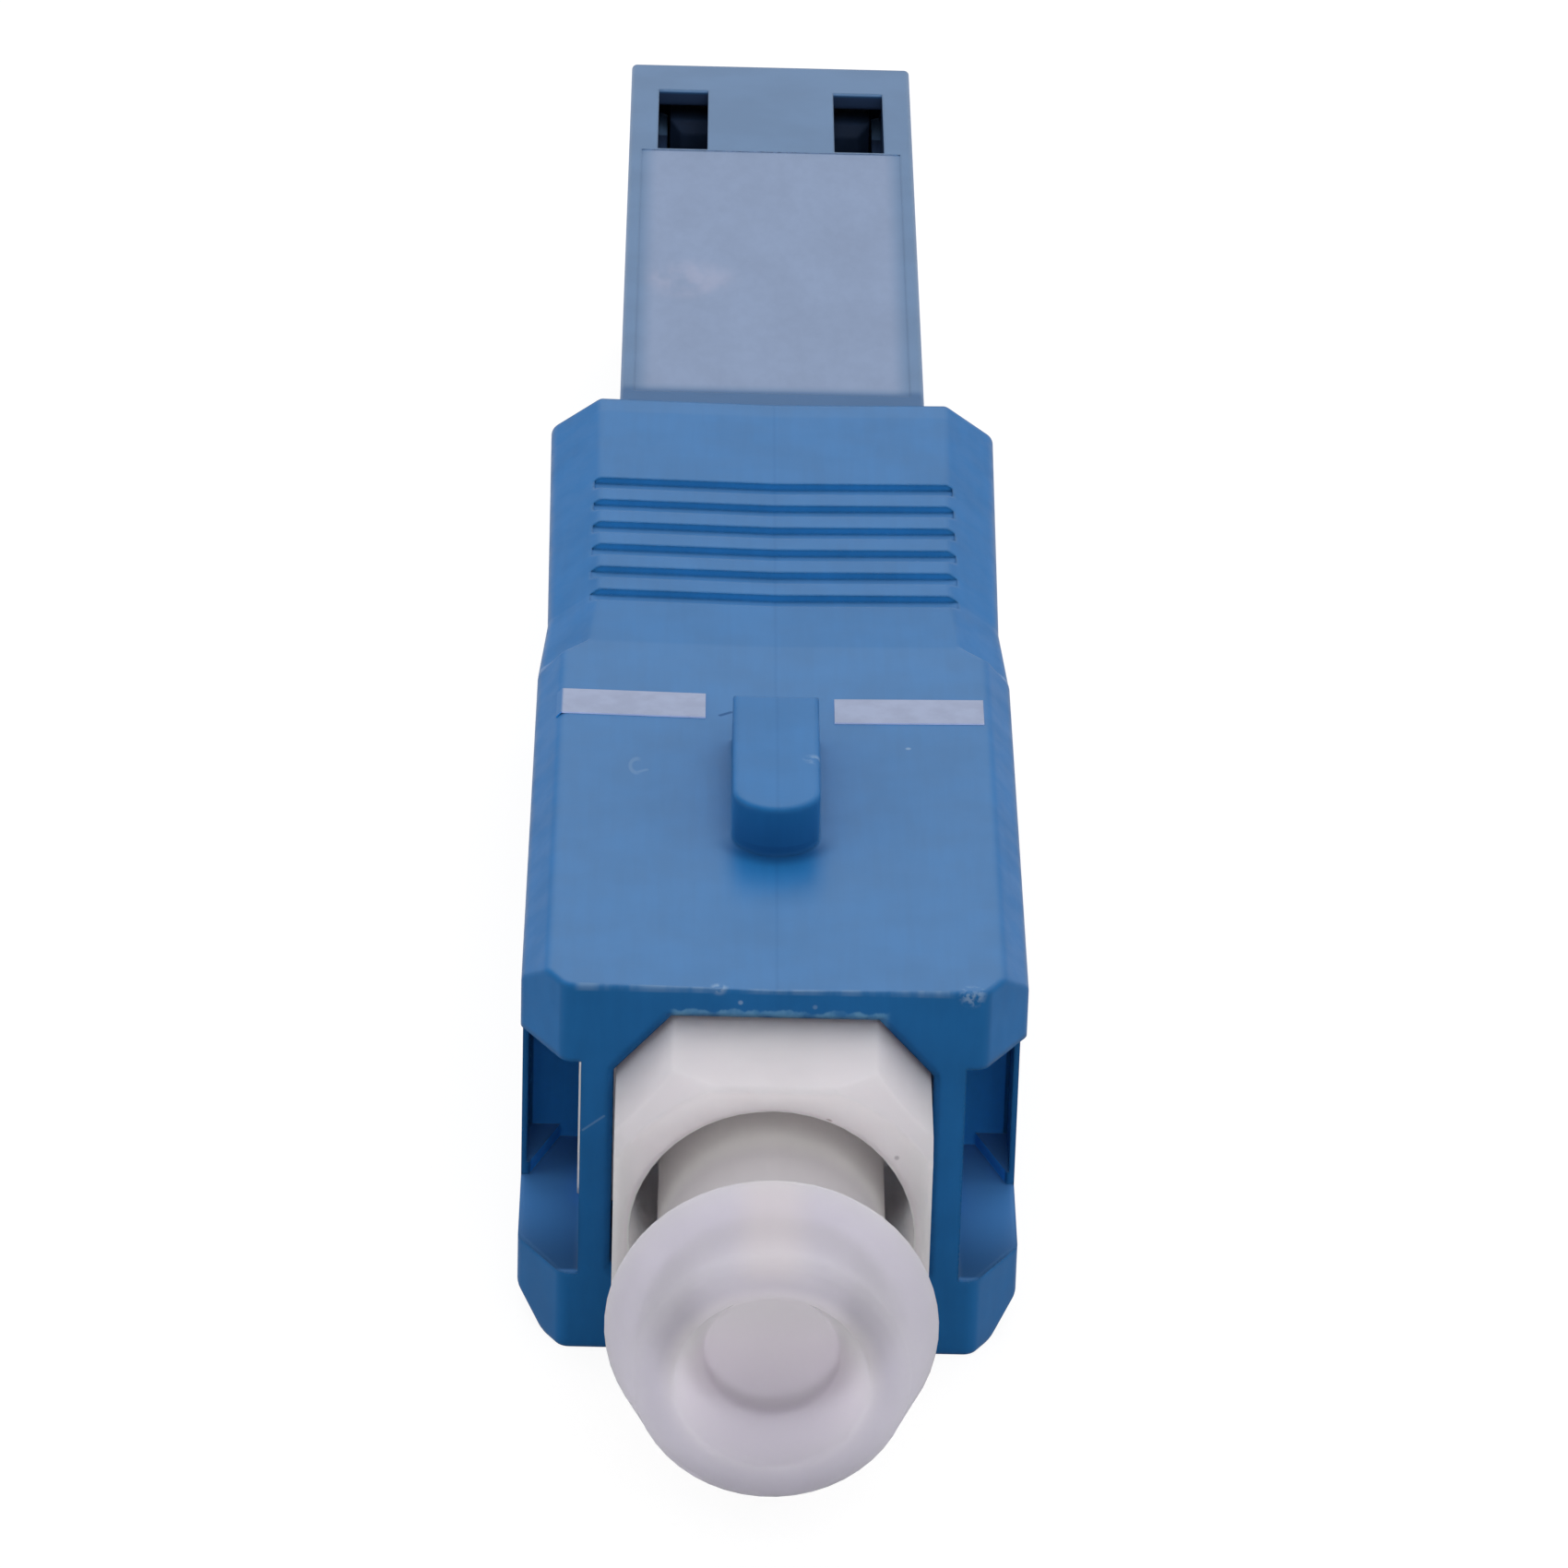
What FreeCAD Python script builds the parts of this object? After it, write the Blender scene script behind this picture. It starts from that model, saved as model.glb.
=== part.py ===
import FreeCAD, Part
import os
from math import cos, floor, pi, sin

# Hybrid fibre adapter: a push-pull plug at one end and a small square socket at the other.
# Lengths are in mm. The optical axis runs along +Y, from the capped plug to the open socket,
# and +Z points to the side with the key. Stations along the axis count from the housing's front
# face; at the end every piece moves so that the origin lies under the middle of the whole part.

V = FreeCAD.Vector

# Fits and gaps
slide_gap = 0.05  # housing bore to plug frame, each side
bay_gap = 0.1  # housing bore to socket body, each side
stop_gap = 0.1  # end play left at both ends of a travel
press_gap = 0.01  # pressed or glued pieces, radial
sleeve_gap = 0.04  # split sleeve in its holder, radial
run_gap = 0.02  # cap on its ferrule and stub in its sleeve, radial
float_gap = 0.1  # round the floating ferrule group
snap_gap = 0.08  # snap ears in their windows

# Travels
slide_travel = 1.5  # housing along the plug frame
float_travel = 0.8  # ferrule group against its spring

# Fibre and ferrules
fibre_radius = 0.0625
fibre_gap = 0.002
ferrule_radius = 1.25
ferrule_reach = 1.08  # tip ahead of the plug frame's front face
ferrule_seat = 3.2  # length held in the flange
ferrule_bevel = 0.4
stub_radius = 0.625
stub_seat = 3.3  # length held in the tail
stub_bevel = 0.2

# Flange and tail
disc_length = 1.8
disc_slots = 4
barrel_wall = 0.3  # round the ferrule's seat
barrel_floor = 0.9  # behind the ferrule's seat
tail_radius = 1.05
tail_bore = 0.2

# Spring
spring_length = 7.4
spring_wire = 0.36
spring_turns = 5.5
spring_end_turns = 1.0  # closed turns at each end
spring_end_gap = 0.007  # between the wires of a closed turn
spring_gap = 0.06  # spring to barrel, radial
spring_points = 10  # path points in one turn
spring_sides = 6  # flats round the wire

# Plug frame
frame_reach = 2.42  # ahead of the housing's front face
frame_bore_radius = 2.5
frame_bore_depth = 5.12
frame_bore_bevel = 0.12
frame_wall_x = 0.28  # beside the bore
frame_wall_z = 0.51  # above and below the bore
frame_cut_x = 1.0  # corner cuts of the eight-sided section
frame_cut_z = 1.1
frame_bevel = 0.08  # front edges
frame_nose_radius = 3.14  # turned lead-in, at the front face
frame_nose_slope = 0.58  # how much its radius grows per mm
partition = 0.8  # wall between the bore and the spring room
room_radius = 2.15  # spring room
rib_width = 0.7  # ribs that keep the flange from turning
rib_length = 1.2
shoulder_length = 1.4
shoulder_height = 3.6
shoulder_stand = 0.06  # proud of the web's outer face
shoulder_bevel = 0.25
window_land = 0.25  # channel wall above and below the window

# Coupling housing
web_wall = 0.57  # thin bridge at the front of each side
web_length = 1.95
channel_depth = 1.1  # hook channel, from the web out to the side
pocket_floor = 0.42  # flat part of the channel's end wall
pocket_undercut = 1.85  # how far that end wall leans back under the skin
channel_lip = 0.14  # blunt outer end of the channel's end wall
skin_wall = 0.59  # thinnest wall above and below the inner pieces
front_section = 13.55
grip_blend = 0.52
grip_length = 11.33
grip_waist = 0.13  # how far each side draws in behind the blend
waist_length = 2.2
edge_cut_x = 0.5  # long edges of the front section
edge_cut_z = 0.57
grip_cut_x = 1.0  # long edges of the grip
grip_cut_z = 0.7
edge_round = 0.3
corner_cut_x = 0.8  # front corners, seen from above
corner_cut_y = 1.3
front_round = 0.1
mouth_bevel = 0.1
top_sink = 0.07  # shallow valley along the middle of the top
guide_setback = 1.1  # front of the socket body to the end of the guide

# Key on the housing
key_width = 1.6
key_height = 0.9
key_front = 5.2
key_length = 4.72
key_round = 0.1  # edges of its top

# Grip grooves
groove_lead = 2.25  # start of the grip to the steep wall of the first groove
groove_tail = 3.7  # plain grip behind the last groove
groove_pitch = 1.04
groove_width = 0.5
groove_depth = 0.14
groove_slope = 0.2
groove_end = 0.06  # past the edge of the flat top

# Printed insertion marks
mark_width = 2.8
mark_length = 1.0
mark_edge = 0.49  # side of the housing to the end of a bar
mark_setback = 1.75  # end of the front section to the rear of the bars
mark_shift = -0.09  # the print sits a little to one side
mark_skew = 0.12  # the right bar sits this much nearer the front
mark_thickness = 0.03

# Socket body
socket_width = 4.6
socket_height = 4.6
socket_depth = 13.7
socket_wall_x = 0.83
socket_wall_z = 0.71
socket_bevel = 0.25
body_round = 0.12
hub_length = 14.44  # solid part between the frame and the socket's floor
nose_length = 4.8  # the part inside the frame
nose_bevel = 0.3
ear_width = 2.0
ear_length = 1.4
ear_setback = 1.6
roof_width = 5.0  # latch room under the roof
roof_depth = 0.35
roof_relief = 0.4  # latch room below the roof, where it is wider than the socket
latch_setback = 1.49  # mouth to the latch windows
latch_length = 3.5
latch_inner = 1.4  # middle of the part to the near side of a window
latch_width = 1.1
panel_margin = 0.22  # plain border round the satin panel on the roof
panel_setback = 5.05  # mouth to the satin panel
panel_depth = 0.02
panel_lead = 9.9  # frame's end to the satin panel

# Split sleeve and its holder
mating_depth = 13.0  # mouth to the plane where the ferrules meet
sleeve_length = 11.4
sleeve_wall = 0.165
sleeve_slit = 0.22
holder_wall = 0.5
holder_spigot = 0.7  # wall of the part pressed into the hub
holder_flange = 0.5
holder_flange_length = 0.6
holder_taper = 0.5  # cone that stops the sleeve
holder_lip = 0.7
holder_lip_gap = 0.075  # ferrule to the lip, radial
holder_bevel = 0.25
hub_lip = 0.5

# Dust cap
cap_wall = 0.73  # skirt round the ferrule
cap_depth = 3.62  # skirt inside the frame's bore
cap_neck = 2.88  # frame's front face to the rim
cap_rim = 0.87  # rim proud of the skirt
cap_rim_round = 0.12
cap_head = 2.0  # rim to front face
cap_taper = 0.45  # how much the head narrows
cap_front_round = 0.4
cap_dimple_mouth = 1.67
cap_dimple_floor = 1.15
cap_dimple_depth = 1.0
cap_floor = 0.8  # between the ferrule's hole and the dimple
cap_hole_bevel = 0.3
cap_round_steps = 3  # short cones that make up each round

# Dust plug in the socket
plug_gap = 0.06  # nose to the socket, each side
plug_nose = 1.6  # length in the socket
plug_bevel = 0.25
plug_cover = 0.1  # flange past the socket's flare, each side
plug_flange = 0.8
plug_flange_bevel = 0.2
grip_tab_width = 3.4
grip_tab_height = 1.5
grip_tab_length = 4.2
grip_tab_corner = 0.7  # cut corners at its end
grip_tab_ribs = 2
grip_tab_pitch = 1.3
grip_tab_rib = 0.45
grip_tab_rib_height = 0.12

# Half sizes of the section
frame_x = frame_bore_radius + frame_wall_x
frame_z = frame_bore_radius + frame_wall_z
body_x = socket_width / 2 + socket_wall_x
body_z = socket_height / 2 + socket_wall_z
guide_x = frame_x + slide_gap
guide_z = frame_z + slide_gap
web_x = guide_x + web_wall
half_width = web_x + channel_depth
half_height = max(guide_z, body_z + bay_gap) + skin_wall
axis_z = half_height

# Stations along the axis
frame_front = -frame_reach
bore_floor = frame_front + frame_bore_depth
flange_seat = bore_floor + partition
barrel_end = flange_seat + ferrule_seat + barrel_floor
spring_front = flange_seat + disc_length
nose_front = spring_front + spring_length
frame_back = nose_front + nose_length
socket_floor = frame_back + hub_length
mouth = socket_floor + socket_depth
mating_plane = mouth - mating_depth
sleeve_front = mating_plane - sleeve_length / 2
sleeve_back = mating_plane + sleeve_length / 2
holder_front = sleeve_front - stop_gap
holder_lip_front = sleeve_back + stop_gap + holder_taper
holder_tip = holder_lip_front + holder_lip
hub_lip_front = holder_front - hub_lip
tail_end = hub_lip_front - stop_gap - float_travel
stub_front = tail_end - stub_seat
ferrule_tip = frame_front - ferrule_reach
shoulder_front = web_length + stop_gap
channel_end = shoulder_front + shoulder_length + slide_travel + stop_gap
grip_front = front_section + grip_blend
housing_back = grip_front + grip_length
guide_end = frame_back - guide_setback
cap_rim_y = frame_front - cap_neck
cap_front = cap_rim_y - cap_head
cap_open = frame_front + cap_depth
plug_seat = mouth + run_gap
plug_front = plug_seat - plug_nose
grip_tab_front = plug_seat + plug_flange
grip_tab_end = grip_tab_front + grip_tab_length

# Radii shared by several pieces
barrel_radius = ferrule_radius + barrel_wall
disc_radius = room_radius - float_gap
spring_radius = barrel_radius + spring_gap + spring_wire / 2
sleeve_inner = stub_radius + run_gap
sleeve_outer = sleeve_inner + sleeve_wall
holder_bore = sleeve_outer + sleeve_gap
spigot_radius = holder_bore + holder_spigot
skirt_inner = ferrule_radius + run_gap
skirt_outer = skirt_inner + cap_wall
rim_radius = skirt_outer + cap_rim

over = 1.0  # how far cutting tools reach past what they cut


def rod(radius, y0, y1):
    return Part.makeCylinder(radius, y1 - y0, V(0, y0, axis_z), V(0, 1, 0))


def box(x0, x1, y0, y1, z0, z1):
    return Part.makeBox(x1 - x0, y1 - y0, z1 - z0, V(x0, y0, z0))


def outline(points):
    return Part.makePolygon(points + points[:1])


def prism(points, way):
    return Part.Face(outline(points)).extrude(way)


def along(section, y0, y1):
    """Extrude a section of (x, z) points along the axis."""
    return prism([V(x, y0, z) for x, z in section], V(0, y1 - y0, 0))


def upright(plan, z0, z1):
    """Extrude a plan of (x, y) points upwards."""
    return prism([V(x, y, z0) for x, y in plan], V(0, 0, z1 - z0))


def turned(profile):
    """Revolve a closed profile of (y, radius) points about the optical axis."""
    face = Part.Face(outline([V(0, y, axis_z + r) for y, r in profile]))
    return face.revolve(V(0, 0, axis_z), V(0, 1, 0), 360)


def tube(inner, outer, y0, y1):
    return turned([(y0, inner), (y0, outer), (y1, outer), (y1, inner)])


def softened(points, radius):
    """A closed wire through the points, with an arc at each corner."""
    edges, joins = [], []
    for i, p in enumerate(points):
        before = (points[i - 1] - p).normalize()
        after = (points[(i + 1) % len(points)] - p).normalize()
        half = before.getAngle(after) / 2
        reach = radius * cos(half) / sin(half)
        middle = p + (before + after).normalize() * (radius / sin(half) - radius)
        joins.append((p + before * reach, middle, p + after * reach))
    for i, (start, middle, end) in enumerate(joins):
        edges.append(Part.Arc(start, middle, end).toShape())
        edges.append(Part.makeLine(end, joins[(i + 1) % len(joins)][0]))
    return Part.Wire(edges)


def mirrored(shape):
    return shape.mirror(V(0, 0, 0), V(1, 0, 0))


def both(shape):
    return shape.fuse(mirrored(shape))


def upside_down(shape):
    return shape.mirror(V(0, 0, axis_z), V(0, 0, 1))


def octagon(x, z, cut_x, cut_z):
    """Eight-sided section round the axis, as (x, z) points."""
    quarter = [(x - cut_x, z), (x, z - cut_z)]
    right = quarter + [(a, -b) for a, b in reversed(quarter)]
    left = [(-a, b) for a, b in reversed(right)]
    return [(a, axis_z + b) for a, b in right + left]


def edges_on(shape, y, reach=None):
    """Straight and curved edges that lie wholly at one station, and within reach of the axis."""
    found = []
    for e in shape.Edges:
        b = e.BoundBox
        flat = abs(b.YMin - y) < 1e-6 and abs(b.YMax - y) < 1e-6
        near = reach is None or max(abs(b.XMin), abs(b.XMax)) <= reach
        if flat and near:
            found.append(e)
    return found


def top_height(x):
    """Height of the front section's top, with its shallow valley and its cut edges."""
    flat = half_width - edge_cut_x
    top = 2 * half_height
    if abs(x) <= flat:
        return top - top_sink * (1 - abs(x) / flat)
    return top - edge_cut_z * (abs(x) - flat) / edge_cut_x


def housing_section(y, x, cut_x, cut_z):
    top = 2 * half_height
    corners = [(x - cut_x, top), (x, top - cut_z), (x, cut_z), (x - cut_x, 0)]
    corners += [(-a, b) for a, b in reversed(corners)]
    return softened([V(a, y, b) for a, b in corners], edge_round)


def housing_skin():
    waist = half_width - grip_waist
    sections = [
        housing_section(0, half_width, edge_cut_x, edge_cut_z),
        housing_section(front_section, half_width, edge_cut_x, edge_cut_z),
        housing_section(grip_front, half_width, grip_cut_x, grip_cut_z),
        housing_section(grip_front + waist_length, waist, grip_cut_x, grip_cut_z),
        housing_section(housing_back, half_width, grip_cut_x, grip_cut_z),
    ]
    skin = Part.makeLoft(sections, True, True)
    nose = [
        V(-(half_width - corner_cut_x), 0, -over),
        V(half_width - corner_cut_x, 0, -over),
        V(half_width, corner_cut_y, -over),
        V(half_width, housing_back + over, -over),
        V(-half_width, housing_back + over, -over),
        V(-half_width, corner_cut_y, -over),
    ]
    plan = Part.Face(softened(nose, edge_round)).extrude(V(0, 0, 2 * half_height + 2 * over))
    skin = skin.common(plan)
    skin = skin.makeFillet(front_round, edges_on(skin, 0))
    flat = half_width - edge_cut_x
    top = 2 * half_height
    valley = [(0, top - top_sink), (flat, top), (flat, top + over), (0, top + over)]
    return skin.cut(both(along(valley, -over, housing_back + over)))


def key():
    """The key on top of the housing, with a half-round nose."""
    half = key_width / 2
    shoulder = key_front + half
    back = key_front + key_length
    low = 2 * half_height - skin_wall / 2
    left, right = V(-half, shoulder, low), V(half, shoulder, low)
    plan = Part.Wire(
        [
            Part.Arc(left, V(0, key_front, low), right).toShape(),
            Part.makeLine(right, V(half, back, low)),
            Part.makeLine(V(half, back, low), V(-half, back, low)),
            Part.makeLine(V(-half, back, low), left),
        ]
    )
    top = 2 * half_height + key_height
    solid = Part.Face(plan).extrude(V(0, 0, top - low))
    rim = [e for e in solid.Edges if abs(e.BoundBox.ZMin - top) < 1e-6]
    return solid.makeFillet(key_round, rim)


def grip_grooves(sink):
    """Cutting tools for the grooves on the upper side, which follow the valley in the top."""
    count = 1 + floor((grip_length - groove_lead - groove_tail) / groove_pitch)
    reach = half_width - grip_cut_x + groove_end
    top = 2 * half_height - sink
    tools = []
    for i in range(count):
        steep = grip_front + groove_lead + i * groove_pitch
        front = steep - groove_width
        profile = [
            V(0, steep, top + over),
            V(0, steep, top - groove_depth),
            V(0, front + groove_slope, top - groove_depth),
            V(0, front, top),
            V(0, front, top + over),
        ]
        tools.append(both(prism(profile, V(reach, 0, sink))))
    return tools


def hook_channel():
    """One side's channel for the mating hooks, with the window for the frame's shoulder."""
    lean = pocket_undercut / (channel_depth - pocket_floor)
    corner = web_x + pocket_floor
    lip = half_width - channel_lip
    lip_front = channel_end - lean * (lip - corner)
    plan = [
        V(web_x, -over, 0),
        V(half_width + over, -over, 0),
        V(half_width + over, lip_front, 0),
        V(lip, lip_front, 0),
        V(corner, channel_end, 0),
        V(web_x, channel_end, 0),
    ]
    window_z = shoulder_height / 2 + float_gap
    channel_z = window_z + window_land
    channel = Part.Face(outline(plan)).extrude(V(0, 0, 2 * channel_z))
    channel.translate(V(0, 0, axis_z - channel_z))
    window = box(
        guide_x - frame_cut_x,
        web_x + over,
        web_length,
        channel_end,
        axis_z - window_z,
        axis_z + window_z,
    )
    return channel.fuse(window)


def coupling_housing():
    guide = octagon(guide_x, guide_z, frame_cut_x, frame_cut_z)
    bay_x = body_x + bay_gap
    bay_z = body_z + bay_gap
    flared = octagon(guide_x + mouth_bevel, guide_z + mouth_bevel, frame_cut_x, frame_cut_z)
    rims = [
        outline([V(x, 0, z) for x, z in flared]),
        outline([V(x, mouth_bevel, z) for x, z in guide]),
    ]
    tools = [
        along(guide, -over, guide_end + over),
        Part.makeLoft(rims, True, True),
        box(-bay_x, bay_x, guide_end, housing_back + over, axis_z - bay_z, axis_z + bay_z),
        both(hook_channel()),
    ]
    tools += grip_grooves(top_sink)
    tools += [upside_down(t) for t in grip_grooves(0)]
    solid = housing_skin().fuse(key())
    return solid.cut(tools).removeSplitter()


def insertion_marks():
    """Two printed bars that follow the housing's top."""
    flat = half_width - edge_cut_x
    centre = half_width - mark_edge - mark_width / 2
    bars = []
    for side in (-1, 1):
        back = front_section - mark_setback - mark_skew * (side > 0)
        x0 = side * centre + mark_shift - mark_width / 2
        stops = [x0] + [e for e in (-flat, flat) if x0 < e < x0 + mark_width] + [x0 + mark_width]
        low = [(x, top_height(x)) for x in stops]
        high = [(x, z + mark_thickness) for x, z in reversed(low)]
        bars.append(along(low + high, back - mark_length, back))
    return Part.makeCompound(bars)


def plug_frame():
    section = octagon(frame_x, frame_z, frame_cut_x, frame_cut_z)
    solid = along(section, frame_front, frame_back)
    solid = solid.makeChamfer(frame_bevel, edges_on(solid, frame_front))
    nose_end = frame_nose_radius + frame_nose_slope * (frame_back - frame_front)
    nose = [(frame_front, 0), (frame_front, frame_nose_radius), (frame_back, nose_end), (frame_back, 0)]
    solid = solid.common(turned(nose))
    low = axis_z - shoulder_height / 2
    top_x = web_x + shoulder_stand
    shoulder = upright(
        [
            (frame_x - frame_wall_x / 2, shoulder_front),
            (top_x - shoulder_bevel, shoulder_front),
            (top_x, shoulder_front + shoulder_bevel),
            (top_x, shoulder_front + shoulder_length),
            (frame_x - frame_wall_x / 2, shoulder_front + shoulder_length),
        ],
        low,
        low + shoulder_height,
    )
    lead = frame_bore_radius + frame_bore_bevel
    bore = turned(
        [
            (frame_front - over, 0),
            (frame_front - over, lead + over),
            (frame_front + frame_bore_bevel, frame_bore_radius),
            (bore_floor, frame_bore_radius),
            (bore_floor, ferrule_radius + float_gap),
            (flange_seat, ferrule_radius + float_gap),
            (flange_seat, room_radius),
            (frame_back + over, room_radius),
            (frame_back + over, 0),
        ]
    )
    wide = ear_width / 2 + snap_gap
    back = frame_back - ear_setback + snap_gap
    front = back - ear_length - 2 * snap_gap
    snaps = box(-wide, wide, front, back, -over, 2 * half_height + over)
    solid = solid.fuse(both(shoulder)).cut([bore, snaps])
    rib = box(
        barrel_radius + 1.5 * float_gap,
        room_radius + frame_wall_x / 2,
        flange_seat - partition / 2,
        flange_seat + rib_length,
        axis_z - rib_width / 2,
        axis_z + rib_width / 2,
    )
    return solid.fuse(both(rib)).removeSplitter()


def capillary(radius, bevel, y0, y1, tip):
    """A ferrule with a fibre hole and a bevelled tip at y0 (tip -1) or y1 (tip +1)."""
    hole = fibre_radius + fibre_gap
    profile = [(y0, hole), (y0, radius), (y1 - bevel, radius), (y1, radius - bevel), (y1, hole)]
    if tip < 0:
        profile = [(y0 + y1 - y, r) for y, r in profile]
    return turned(profile)


def sc_ferrule():
    return capillary(ferrule_radius, ferrule_bevel, ferrule_tip, flange_seat + ferrule_seat, -1)


def lc_stub_ferrule():
    return capillary(stub_radius, stub_bevel, stub_front, mating_plane, 1)


def ferrule_flange():
    seat = ferrule_radius + press_gap
    stub = stub_radius + press_gap
    solid = turned(
        [
            (flange_seat, seat),
            (flange_seat, disc_radius),
            (spring_front, disc_radius),
            (spring_front, barrel_radius),
            (barrel_end, barrel_radius),
            (barrel_end, tail_radius),
            (tail_end, tail_radius),
            (tail_end, stub),
            (stub_front, stub),
            (stub_front, tail_bore),
            (flange_seat + ferrule_seat, tail_bore),
            (flange_seat + ferrule_seat, seat),
        ]
    )
    wide = rib_width / 2 + float_gap
    slot = box(
        barrel_radius + float_gap / 2,
        disc_radius + over,
        flange_seat - over,
        spring_front + over,
        axis_z - wide,
        axis_z + wide,
    )
    turns = [360 / disc_slots * i for i in range(disc_slots)]
    return solid.cut([slot.rotated(V(0, 0, axis_z), V(0, 1, 0), t) for t in turns])


def ferrule_spring():
    """A coil with closed ends: the pitch is about one wire at the ends and wider between them."""
    length = spring_length - spring_wire - 2 * press_gap
    closed = spring_end_turns * (spring_wire + spring_end_gap)
    last_open = spring_turns - spring_end_turns
    pitch = (length - 2 * closed) / (last_open - spring_end_turns)
    points = []
    for i in range(floor(spring_turns * spring_points) + 1):
        turn = i / spring_points
        if turn <= spring_end_turns:
            rise = closed * turn / spring_end_turns
        elif turn <= last_open:
            rise = closed + pitch * (turn - spring_end_turns)
        else:
            rise = length - closed * (spring_turns - turn) / spring_end_turns
        angle = 2 * pi * turn
        y = spring_front + press_gap + spring_wire / 2 + rise
        points.append(V(spring_radius * cos(angle), y, axis_z + spring_radius * sin(angle)))
    path = Part.BSplineCurve()
    path.interpolate(points)
    outward = V(1, 0, 0)
    across = path.tangent(path.FirstParameter)[0].cross(outward).normalize()
    section = []
    for i in range(spring_sides):
        angle = 2 * pi * i / spring_sides
        section.append(points[0] + (outward * cos(angle) + across * sin(angle)) * (spring_wire / 2))
    return Part.Wire(path.toShape()).makePipeShell([outline(section)], True, True)


def optical_fibre():
    return rod(fibre_radius, ferrule_tip, mating_plane)


def split_sleeve():
    solid = tube(sleeve_inner, sleeve_outer, sleeve_front, sleeve_back)
    half = sleeve_slit / 2
    slit = box(-half, half, sleeve_front - over, sleeve_back + over, axis_z, axis_z + over)
    return solid.cut(slit)


def sleeve_holder():
    outer = holder_bore + holder_wall
    flange = spigot_radius + holder_flange
    lip = stub_radius + holder_lip_gap
    flange_end = socket_floor + holder_flange_length
    return turned(
        [
            (holder_front, holder_bore),
            (holder_front, spigot_radius),
            (socket_floor, spigot_radius),
            (socket_floor, flange),
            (flange_end, flange),
            (flange_end, outer),
            (holder_tip - holder_bevel, outer),
            (holder_tip, outer - holder_bevel),
            (holder_tip, lip + holder_bevel / 2),
            (holder_tip - holder_bevel / 2, lip),
            (holder_lip_front, lip),
            (sleeve_back + stop_gap, holder_bore),
        ]
    )


def lc_receptacle():
    corners = [(body_x, body_z), (body_x, -body_z), (-body_x, -body_z), (-body_x, body_z)]
    section = softened([V(x, frame_back, axis_z + z) for x, z in corners], body_round)
    solid = Part.Face(section).extrude(V(0, mouth - frame_back, 0))
    nose = room_radius - slide_gap
    solid = solid.fuse(
        turned(
            [
                (nose_front, 0),
                (nose_front, nose - nose_bevel),
                (nose_front + nose_bevel, nose),
                (frame_back + over, nose),
                (frame_back + over, 0),
            ]
        )
    )
    half = ear_width / 2
    back = frame_back - ear_setback
    ear_z = frame_z - snap_gap
    ear = prism(
        [
            V(-half, back - ear_length, axis_z),
            V(-half, back - ear_length, axis_z + nose),
            V(-half, back - ear_length / 3, axis_z + ear_z),
            V(-half, back, axis_z + ear_z),
            V(-half, back, axis_z),
        ],
        V(ear_width, 0, 0),
    )
    solid = solid.fuse([ear, upside_down(ear)])
    passage = turned(
        [
            (nose_front - over, 0),
            (nose_front - over, tail_radius + float_gap),
            (hub_lip_front, tail_radius + float_gap),
            (hub_lip_front, stub_radius + float_gap),
            (holder_front, stub_radius + float_gap),
            (holder_front, spigot_radius + press_gap),
            (socket_floor + over, spigot_radius + press_gap),
            (socket_floor + over, 0),
        ]
    )
    x, z = socket_width / 2, socket_height / 2
    socket = box(-x, x, socket_floor, mouth + over, axis_z - z, axis_z + z)
    latch_back = mouth - latch_setback
    latch_front = latch_back - latch_length
    roof = box(
        -roof_width / 2,
        roof_width / 2,
        latch_front,
        mouth + over,
        axis_z + z - roof_relief,
        axis_z + z + roof_depth,
    )
    window = box(
        latch_inner,
        latch_inner + latch_width,
        latch_front,
        latch_back,
        axis_z + z - roof_relief,
        axis_z + body_z + over,
    )
    rims = []
    for wider, y in ((0, mouth - socket_bevel), (socket_bevel, mouth)):
        a, b = x + wider, z + wider
        quad = [(a, b), (a, -b), (-a, -b), (-a, b)]
        rims.append(outline([V(c, y, axis_z + d) for c, d in quad]))
    panel_x = body_x - panel_margin - body_round / 2
    panel = box(
        -panel_x,
        panel_x,
        frame_back + panel_lead,
        mouth - panel_setback,
        axis_z + body_z - panel_depth,
        axis_z + body_z + over,
    )
    flare = Part.makeLoft(rims, True, True)
    return solid.cut([passage, socket, roof, both(window), flare, panel]).removeSplitter()


def dust_cap():
    hole_end = cap_front + cap_dimple_depth + cap_floor
    front_radius = rim_radius - cap_taper
    turns = [i * pi / 2 / cap_round_steps for i in range(cap_round_steps + 1)]
    rim = [
        (cap_rim_y - cap_rim_round * (1 - cos(a)), rim_radius - cap_rim_round * (1 - sin(a)))
        for a in turns
    ]
    nose = [
        (cap_front + cap_front_round * (1 - sin(a)), front_radius - cap_front_round * (1 - cos(a)))
        for a in turns
    ]
    opening = [
        (cap_open, skirt_inner + cap_hole_bevel),
        (cap_open, skirt_outer),
        (cap_rim_y, skirt_outer),
    ]
    hollow = [
        (cap_front, cap_dimple_mouth),
        (cap_front + cap_dimple_depth, cap_dimple_floor),
        (cap_front + cap_dimple_depth, 0),
        (hole_end, 0),
        (hole_end, skirt_inner),
        (cap_open - cap_hole_bevel, skirt_inner),
    ]
    return turned(opening + rim + nose + hollow)


def bevelled_block(x, y0, y1, z, bevel, y_bevel):
    """Block round the axis, of half sizes x and z, with its edges cut at one station."""
    solid = box(-x, x, y0, y1, axis_z - z, axis_z + z)
    return solid.makeChamfer(bevel, edges_on(solid, y_bevel))


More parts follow.
